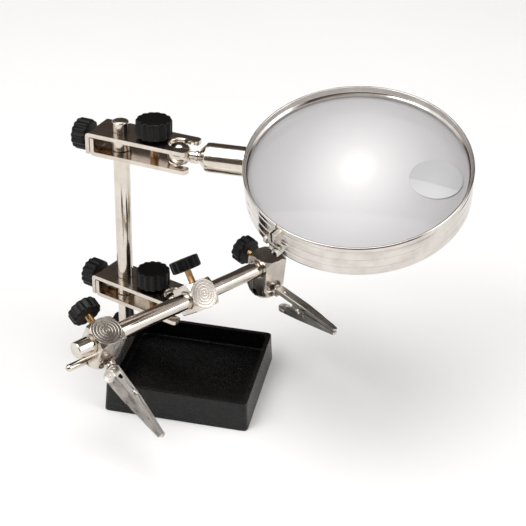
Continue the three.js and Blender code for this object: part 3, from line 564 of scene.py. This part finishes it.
def make_clamp(prefix, matrix):
    for side, name in ((1, "_top_jaw"), (-1, "_bottom_jaw")):
        finished(prefix + name + "_pressing", clamp_jaw(side), matrix,
                 prefix + "_clamp", NICKEL, [prefix + name], 30)
    ring = lathe(rounded([(4.1, -3.3), (4.8, -3.3, 0.2), (4.8, 3.3, 0.2), (4.1, 3.3)], 3), 64, True)
    finished(prefix + "_sleeve_ring", cut(ring, block(3, 7, -0.4, 0.4, -5, 5)), matrix,
             prefix + "_sleeve", NICKEL, [prefix + "_post_sleeve"])
    make_screw(prefix + "_ball", at(matrix, BALL_SCREW_X), BALL_THREAD, -PLATE_OUT, 9.5, 0.7)
    make_knob(prefix + "_ball", at(matrix, BALL_SCREW_X, 0, 6.5), 8.5, 8.6, 14)
    outward = at(matrix, turn=(-90, "Y"))
    make_screw(prefix + "_post", outward, BALL_THREAD, 5.1, 19.4, 0.7)
    make_knob(prefix + "_post", at(outward, 0, 0, 15.8), 7.5, 7.4, 14)


# ---------------------------------------------------------------- balls and studs
def ball_mesh():
    """A ball turned on its stud: a small flat and ring where the stud leaves it, a centre mark opposite."""
    radius = BALL_RADIUS
    points = [(0, -radius + 0.25), (0.35, -radius + 0.04)]
    steps = 40
    flat = math.asin(2.6 / radius)
    for k in range(steps + 1):
        a = -math.pi / 2 + 0.09 + (math.pi - 0.09 - flat) * k / steps
        points.append((radius * math.cos(a), radius * math.sin(a)))
    top = radius * math.cos(flat)
    return lathe(points + [(2.1, top - 0.05), (2.05, top - 0.2), (0, top - 0.2)], 72)


# ---------------------------------------------------------------- magnifier
def make_magnifier():
    ahead = at(MAGNIFIER, turn=(90, "Y"))
    finished("magnifier_ball_turning", ball_mesh(), ahead, "magnifier_ball", ROD_METAL,
             ["magnifier_ball"])
    neck = lathe(rounded([(0, 5.3), (2.0, 5.3), (2.0, 7.9, 0.2), (2.5, 8.2, 0.2), (2.5, 9.3, 0.2),
                          (2.0, 9.5, 0.2), (2.0, 22), (0, 22)]), 48)
    finished("magnifier_neck_turning", neck, ahead, "magnifier_neck", ROD_METAL,
             ["magnifier_neck"])
    barrel = lathe(rounded([(0, 10.3), (3.6, 10.3, 0.4), (6.85, 13.5, 0.7), (6.98, 15, 0.3), (6.98, 36),
                            (0, 36)]), 96)
    barrel = cut(barrel, move(along_x(rod(51.42, -20, 20, 160)), 0, 0, RIM_X), rod(2.3, 9, 22.3))
    finished("magnifier_ferrule_turning", barrel, ahead, "magnifier", ROD_METAL,
             ["magnifier_ferrule"], 30)

    outer = [(50.35, -8.4, 0.3), (51.15, -8.4, 0.35), (51.4, -7.6, 0.3)]
    for middle, depth in ((-4.1, 0.2), (0.7, 0.2), (5.5, 0.26)):  # the three grooves
        outer += [(RIM_OUT, middle - 0.6, 0.25), (RIM_OUT - depth, middle - 0.15, 0.2),
                  (RIM_OUT - depth, middle + 0.15, 0.2), (RIM_OUT, middle + 0.6, 0.25)]
    outer += [(51.4, 7.8, 0.4), (51.0, 8.4, 0.3), (50.35, 8.4, 0.25)]
    inner = [(50.25, 7.9), (50.2, 5.5, 2.2), (49.15, 4.7, 0.3), (49.2, 3.3, 0.1), (50.1, 3.1), (50.1, 0.1),
             (49.2, -0.1, 0.1), (49.3, -1.2, 0.3), (50.1, -1.8, 0.3)]
    band = lathe(rounded(outer + inner, 4, True), 192, True)
    notch = turn(block(48, 58, -0.45, 0.45, -10, 10), RIM_SPLIT, "Z")
    finished("lens_rim_band", cut(band, notch), LENS, "magnifier", RIM_METAL, ["lens_rim"], 34)
    lug_frame = at(LENS, turn=(RIM_SPLIT, "Z"))
    for side, name in ((-1, "left"), (1, "right")):
        y0, y1 = sorted((0.5 * side, 2.6 * side))
        lug = join(block(50.9, 54.6, y0, y1, -7.3, -4.6), block(50.9, 53.9, y0, y1, -4.8, 0.8),
                   block(50.9, 54.6, y0, y1, 0.6, 6.3))
        lug = cut(soften(lug, 0.3, 2), move(along_y(rod(1.25, -6, 6)), *RIM_SCREW))
        finished("lens_rim_lug_" + name, lug, lug_frame, "magnifier", RIM_METAL, ["lens_rim"])
    screw = lathe(rounded([(0, -5.6), (1.9, -5.6, 0.5), (1.9, -3.6, 0.1), (0.95, -3.6), (0.95, 4), (0, 4)]), 40)
    screw = move(along_y(cut(screw, block(-3, 3, -0.3, 0.3, -6, -5.0))), *RIM_SCREW)
    finished("rim_screw_turning", screw, lug_frame, "magnifier", STEEL, ["rim_screw"])

    level, half, crown, radius = 1.6, 1.4, 3.6, 49.75
    top = [(radius * k / 24, level + half + (crown - half) * (1 - (k / 24) ** 2)) for k in range(25)]
    under = [(r, 2 * level - z) for r, z in top]
    glass = lathe(under + top[::-1], 144)
    finished("lens_glass_disc", glass, LENS, "magnifier", GLASS, ["lens_glass"])
    cap = [(0, 3.0), (11.8, 3.4), (11.85, 4.3)]
    cap += [(11.7 * (1 - k / 14), 4.42 + 0.75 * math.sin(math.pi / 2 * k / 14)) for k in range(15)]
    insert = turn(lathe(cap, 96), 1.5, "Y")
    finished("lens_insert", insert, at(LENS, 34.8, -0.7), "magnifier", INSERT_GLASS,
             ["lens_glass"], 50)


# ---------------------------------------------------------------- crossbar and blocks
def block_mesh(bottom, end):
    """A square bar turned at its ends, with a shallow seat for its face, bored for the crossbar and its
    thumbscrew.
    """
    half = BLOCK_HALF
    form = lathe(bottom + [(9.62, 4.2), (7.6, 5.92), (7.4, 5.98), (7.3, 5.6), (0, 5.6)], 120)
    corners = [(half, half, 0.5), (-half, half, 0.5), (-half, -half, 0.5), (half, -half, 0.5)]
    made = meet(prism(rounded(corners, 3, True), -22, 8), form)
    bore = along_x(lathe([(0, -8), (4.9, -8), (4.9, -6.85), (4.12, -6.4), (4.12, 6.4), (4.9, 6.85),
                          (4.9, 8), (0, 8)], 72))
    tools = [bore, along_y(rod(1.85, 2, 10))]
    if end:
        stem_bore = along_y(lathe([(0, -8), (4.7, -8), (4.55, -6.7), (4.2, -4.4), (2.85, -4.3),
                                   (2.85, 3.5), (0, 3.5)], 60))
        tools += [move(stem_bore, 0, 0, CLIP_Z), move(along_x(rod(2.05, -9, 9)), 0, 0, STEM_PIN_Z)]
    else:
        tools.append(rod(2.25, -12, -4.5))
    return soften(cut(made, *tools), 0.22, 2, 38)


def make_face(prefix, matrix):
    face = lathe([(0, 5.5), (7.2, 5.5)] + turned_face(7.24, FACE_Z), 144)
    finished(prefix + "_block_face", face, matrix, prefix + "_block", FACED,
             [prefix + "_block"], 60)


def make_thumbscrew(prefix, matrix):
    outward = at(matrix, turn=(-90, "X"))
    make_screw(prefix, outward, THUMB_THREAD, 4.3, 16.6, 0.6)
    make_knob(prefix, at(outward, 0, 0, 13.2), 7.3, 6.0, 12)


def make_crossbar():
    finished("crossbar_ball_turning", ball_mesh(), at(CENTRE, 0, 0, -STUD_LENGTH), "crossbar_ball", ROD_METAL,
             ["crossbar_ball"])
    stud = lathe(rounded([(0, -16.7), (2, -16.7), (2, -9.6, 0.3), (1.9, -5.0), (0, -5.0)]), 48)
    finished("crossbar_stud_turning", stud, CENTRE, "crossbar_stud", ROD_METAL,
             ["crossbar_stud"])
    back = [(0, -8.6), (8.6, -8.6), (9.62, -7.9)]
    finished("centre_block_turning", block_mesh(back, False), CENTRE, "centre_block", BLOCK_METAL,
             ["centre_block"], 30)
    make_face("centre", CENTRE)
    make_thumbscrew("centre", CENTRE)
    bar = lathe(rounded([(0, -71), (ROD_RADIUS, -71, 0.7), (ROD_RADIUS, 55.5, 0.7), (0, 55.5)], 4), 96)
    finished("crossbar_rod", bar, at(CENTRE, turn=(90, "Y")), "crossbar", ROD_METAL,
             ["crossbar"])


# ---------------------------------------------------------------- clips
def clip_plan(x0, inset):
    """The plan of a clip's jaw from x0 to its tip, tapering past the rivet, drawn in by inset."""
    half, tip, end, taper = 2.4 - inset, 1.1 - inset, CLIP_END - inset, PIVOT[0] + 1
    r = max(0.2, 0.9 - inset)
    return rounded([(x0, -half, 0.6), (taper, -half), (end, -tip, r),
                    (end, tip, r), (taper, half), (x0, half, 0.6)], 5, True)


def toothed(x0, x1, z, depth, pitch=1.15):
    """Saw teeth along a jaw's edge, from x0 to x1."""
    count = int((x1 - x0) / pitch)
    out = []
    for k in range(count):
        x = x0 + k * pitch
        out += [(x, z), (x + pitch * 0.5, z + depth), (x + pitch * 0.62, z + depth)]
    return out + [(x0 + count * pitch, z)]


def held_jaw():
    """The jaw that is fixed to the clip's stem: a folded sheet with inner ears and a tab at its back."""
    tip_top, knee = 1.6, 26
    walls = [(7.2, 2.8), (7.2, 2.2), (9.5, 1.4), (11, 0.3), (20.8, 0.3), (21.6, 1.1), (26.4, 1.1),
             (27.2, 0.3)]
    walls += toothed(31, 47.4, 0.45, -0.42) + [(48, 0.45), (48, tip_top, 0.4), (knee, 2.8, 6)]
    shell = meet(soften(prism(clip_plan(7.2, 0), -6, 2.8), 0.85, 4, 60), side_prism(walls, -4, 4))
    inside = [(5, 2.05), (5, -4), (49, -4), (49, tip_top - 0.75), (knee, 2.05, 6)]
    shell = cut(shell, meet(prism(clip_plan(5, CLIP_SHEET), -4, 3), side_prism(inside, -4, 4)))
    ear_line = rounded([(20, 2.3), (21.2, -2.9, 0.9), (26.8, -2.9, 0.9), (28, 2.3)], 5, True)
    tab = side_prism([(7.2, -2.2), (8.0, -2.2), (8.0, 2.4), (7.2, 2.4)], -1.95, 1.95)
    made = join(shell, side_prism(ear_line, 0.65, 1.25), side_prism(ear_line, -1.25, -0.65), tab)
    pin_hole = move(along_y(rod(1.1, -4, 4)), *PIVOT)
    made = cut(made, pin_hole, move(rod(1.35, 1, 4), 12.5), along_x(rod(1.45, 6, 8.5)))
    return soften(made, 0.14, 2, 40)


def lever_jaw():
    """The jaw that opens: a channel with outer ears, and a dished round pad on its lever.
    Known fault: joining the ears leaves open edges, as their faces lie in the walls' planes, and the cuts
    of the bore after that leave pieces of their rods behind."""
    pad_x, pad_z = 12.6, -7.4
    lower = [(CLIP_END, -0.35), (CLIP_END, -1.9, 0.6), (14.4, -8.2, 0.6), (14.4, -7.2), (16.5, -2.9, 0.6),
             (23, -0.4), (27.2, -0.3)] + toothed(31, 46.6, -0.5, 0.42)
    outside = meet(prism(clip_plan(pad_x, 0), -12, 2), side_prism(rounded(lower, 4, True), -4, 4))
    raised = [(50, 2), (8, 2), (8, -8.6), (14.2, -7.4), (47.4, -1.2), (50, -0.6)]
    made = cut(outside, meet(prism(clip_plan(8, CLIP_SHEET), -12, 2), side_prism(raised, -4, 4)))
    ear_line = rounded([(21.2, -4), (22.2, 0.55, 1.4), (25.8, 0.55, 1.4), (28, -3)], 6, True)
    made = join(made, side_prism(ear_line, 1.7, 2.4), side_prism(ear_line, -2.4, -1.7))
    dish = lathe(rounded([(0, -0.75), (0.45, -0.72, 0.1), (0.75, -0.35, 0.15), (1.7, -0.38, 0.2),
                          (2.05, -0.85, 0.25), (2.75, -0.9, 0.3), (3.1, -0.4, 0.3), (3.1, 1.0, 0.25),
                          (2.5, 1.0, 0.2), (2.4, 0.35, 0.2), (0, 0.35)], 4), 72)
    made = cut(made, move(rod(2.9, -1.5, 1.5, 64), pad_x, 0, pad_z))
    made = join(made, move(dish, pad_x, 0, pad_z))
    made = cut(made, *(move(along_y(rod(1.05, y0, y1)), *PIVOT) for y0, y1 in ((-4, -1.45), (1.45, 4))))
    return soften(made, 0.14, 2, 40)


def spring_mesh(radius, wire, length, turns, leg):
    """A close coil about Z, with a leg from each end."""
    steps, corners = 28, 10  # of a turn, and of the wire's section
    total = int(turns * steps)
    points = [Vector((radius, -leg, -length / 2)), Vector((radius, -leg * 0.5, -length / 2))]
    for k in range(total + 1):
        a = 2 * math.pi * k / steps
        points.append(Vector((radius * math.cos(a), radius * math.sin(a), length * (k / total - 0.5))))
    last = points[-1]
    ahead = Vector((-last.y, last.x, 0)).normalized()
    points += [last + ahead * leg * 0.5, last + ahead * leg]
    bm = bmesh.new()
    rings = []
    for k, p in enumerate(points):
        before, after = points[max(k - 1, 0)], points[min(k + 1, len(points) - 1)]
        along = (after - before).normalized()
        side = along.cross(Z).normalized()
        up = side.cross(along)
        angles = [2 * math.pi * m / corners for m in range(corners)]
        rings.append([bm.verts.new(p + wire * (math.cos(a) * side + math.sin(a) * up)) for a in angles])
    skin(bm, rings)
    bm.faces.new(rings[0][::-1])
    bm.faces.new(rings[-1])
    return mesh_of(bm)


def make_clip(prefix, block_frame, turned):
    clip = at(at(block_frame, 0, -3, CLIP_Z, (-90, "Z")), turn=(-turned, "X"))
    ahead = at(clip, turn=(90, "Y"))
    body = prefix + "_clip"
    stem = lathe(rounded([(0, -6.2), (2.6, -6.2, 0.3), (2.6, -5.6), (1.5, -5.4), (1.5, -0.6), (2.6, -0.4),
                          (2.6, 2.4, 0.3), (1.8, 2.8), (1.8, 5.2), (3.0, 5.2, 0.3), (3.0, 6.9, 0.3),
                          (1.2, 6.95), (1.2, 8.1), (1.7, 8.1, 0.1), (1.55, 9.0, 0.5), (0, 9.25)], 4), 56)
    finished(prefix + "_stem_turning", stem, ahead, body, BLOCK_METAL,
             [prefix + "_clip_stem"])
    finished(prefix + "_held_jaw_pressing", held_jaw(), clip, body, PRESSED,
             [prefix + "_held_jaw"], 30)
    finished(prefix + "_lever_jaw_pressing", lever_jaw(), clip, prefix + "_lever_jaw", PRESSED,
             [prefix + "_lever_jaw"], 30)
    pin = lathe(rounded([(0, -3.75), (0.9, -3.6, 0.4), (1.5, -3.2, 0.3), (1.5, -2.7, 0.1), (0.9, -2.7),
                         (0.9, 2.7), (1.5, 2.7, 0.1), (1.5, 3.2, 0.3), (0.9, 3.6, 0.4), (0, 3.75)], 4), 40)
    pivot = at(clip, *PIVOT, (-90, "X"))
    finished(prefix + "_pivot_rivet", pin, pivot, body, PRESSED, [prefix + "_jaw_pivot"])
    spring = spring_mesh(1.3, 0.13, 0.75, 2.5, 2.2)
    finished(prefix + "_spring_coil", spring, pivot, body, STEEL, [prefix + "_jaw_spring"], 70)


def make_end(prefix, matrix, outward, proud, turned):
    """An end block with its clip. The stem's pin ends proud millimetres past the side at outward along X."""
    nose = rounded([(0, -17.4), (4.2, -17.4, 0.8), (6.3, -16.2, 1.2), (7.8, -14.2, 1.5), (8.9, -11.6, 1.5),
                    (9.62, -8.8)], 5)
    finished(prefix + "_block_turning", block_mesh(nose, True), matrix, prefix + "_block", BLOCK_METAL,
             [prefix + "_block"], 30)
    make_face(prefix, matrix)
    make_thumbscrew(prefix, matrix)
    reach = BLOCK_HALF + proud
    crown = 1.2 if proud > 0 else 0.3
    pin = lathe(rounded([(0, -6.3), (1.8, -6.3, 0.2), (1.8, reach - crown, crown),
                         (1.8 - crown, reach, crown), (0, reach)], 6), 48)
    finished(prefix + "_pin_turning", pin, at(matrix, 0, 0, STEM_PIN_Z, (90 * outward, "Y")), prefix + "_block",
             ROD_METAL, [prefix + "_stem_pin"])
    make_clip(prefix, matrix, turned)


make_base()
make_clamp("upper", UPPER)
make_clamp("lower", LOWER)
make_magnifier()
make_crossbar()
make_end("left", LEFT, -1, 10.4, 127)
make_end("right", RIGHT, 1, -0.8, 0)


# ---------------------------------------------------------------- stage
def make_stage():
    bm = bmesh.new()
    bmesh.ops.create_grid(bm, x_segments=24, y_segments=24, size=4)
    mesh = bpy.data.meshes.new("floor")
    bm.to_mesh(mesh)
    bm.free()
    floor = bpy.data.objects.new("floor", mesh)
    bpy.context.scene.collection.objects.link(floor)
    floor.location = (0, 0, -0.0003)
    s = Shader("floor_paper")
    s.into("Base Color", s.grey(s.noise(3, 3), 0.90, 0.93))
    s.into("Roughness", 0.9)
    s.into("Specular IOR Level", 0.1)
    mesh.materials.append(s.material)

    world = bpy.data.worlds.new("studio")
    world.use_nodes = True
    bpy.context.scene.world = world
    tree = world.node_tree
    background = tree.nodes["Background"]
    coordinates = tree.nodes.new("ShaderNodeTexCoord")

    def patch(direction, start, end, low, high):
        """A soft patch of the sky about a direction, from low outside it to high inside."""
        dot = tree.nodes.new("ShaderNodeVectorMath")
        dot.operation = "DOT_PRODUCT"
        dot.inputs[1].default_value = Vector(direction).normalized()
        tree.links.new(coordinates.outputs["Generated"], dot.inputs[0])
        spread = tree.nodes.new("ShaderNodeMapRange")
        spread.interpolation_type = "SMOOTHSTEP"
        for key, value in (("From Min", start), ("From Max", end), ("To Min", low), ("To Max", high)):
            spread.inputs[key].default_value = value
        tree.links.new(dot.outputs["Value"], spread.inputs["Value"])
        return spread.outputs["Result"]

    def together(operation, first, *others):
        for other in others:
            node = tree.nodes.new("ShaderNodeMath")
            node.operation = operation
            tree.links.new(first, node.inputs[0])
            tree.links.new(other, node.inputs[1])
            first = node.outputs["Value"]
        return first

    overhead = patch((-0.15, -0.2, 0.97), 0.70, 0.93, 0.10, 1.35)
    right = patch((0.95, -0.05, 0.40), 0.80, 0.95, 0.0, 1.3)
    left = patch((-0.90, -0.35, 0.25), 0.78, 0.95, 0.0, 1.0)
    sky = together("ADD", overhead, right, left)
    strength = together("MULTIPLY", sky, patch((0.1, 0.75, 0.65), 0.66, 0.86, 1.0, 0.75))  # dimmer behind
    tree.links.new(strength, background.inputs["Strength"])
    tint = tree.nodes.new("ShaderNodeValToRGB")  # the unlit part of the room is warmer than the lamps
    tint.color_ramp.elements[0].color = (1, 0.80, 0.68, 1)
    tint.color_ramp.elements[1].color = (1, 0.99, 0.975, 1)
    tint.color_ramp.elements[1].position = 0.5
    tree.links.new(strength, tint.inputs["Fac"])
    tree.links.new(tint.outputs["Color"], background.inputs["Color"])

    def softbox(name, where, size, power):
        light = bpy.data.lights.new(name, "AREA")
        light.shape = "RECTANGLE"
        light.size, light.size_y = size
        light.energy = power
        lamp = bpy.data.objects.new(name, light)
        bpy.context.scene.collection.objects.link(lamp)
        lamp.location = where
        lamp.rotation_mode = "QUATERNION"
        lamp.rotation_quaternion = (Vector((0, 0, 0.06)) - Vector(where)).to_track_quat("-Z", "Y")

    softbox("key", (-0.7, -0.9, 1.3), (0.8, 0.8), 8)
    softbox("fill", (1.3, -0.2, 0.8), (0.6, 0.9), 4.5)
    softbox("top", (-0.1, 0.0, 1.6), (0.9, 0.9), 7)
    bpy.context.scene.view_settings.view_transform = "Standard"


def make_camera():
    """A long lens that looks down at the stand by some 30 degrees, at the place fitted to the photo."""
    data = bpy.data.cameras.new("camera")
    data.lens = 79.14
    data.sensor_width = 36
    data.clip_start, data.clip_end = 0.01, 20
    camera = bpy.data.objects.new("camera", data)
    bpy.context.scene.collection.objects.link(camera)
    azimuth, elevation, roll = (math.radians(v) for v in (10.367, 30.547, 2.219))
    right = Vector((math.cos(azimuth), math.sin(azimuth), 0))
    level = math.cos(elevation)
    back = Vector((math.sin(azimuth) * level, -math.cos(azimuth) * level, math.sin(elevation)))
    up = back.cross(right)
    rolled_right = right * math.cos(roll) + up * math.sin(roll)
    rolled_up = -right * math.sin(roll) + up * math.cos(roll)
    matrix = Matrix((rolled_right, rolled_up, back)).transposed().to_4x4()
    matrix.translation = Vector((119.2, -462.5, 353.0)) * MM
    camera.matrix_world = matrix
    bpy.context.scene.camera = camera


make_stage()
make_camera()
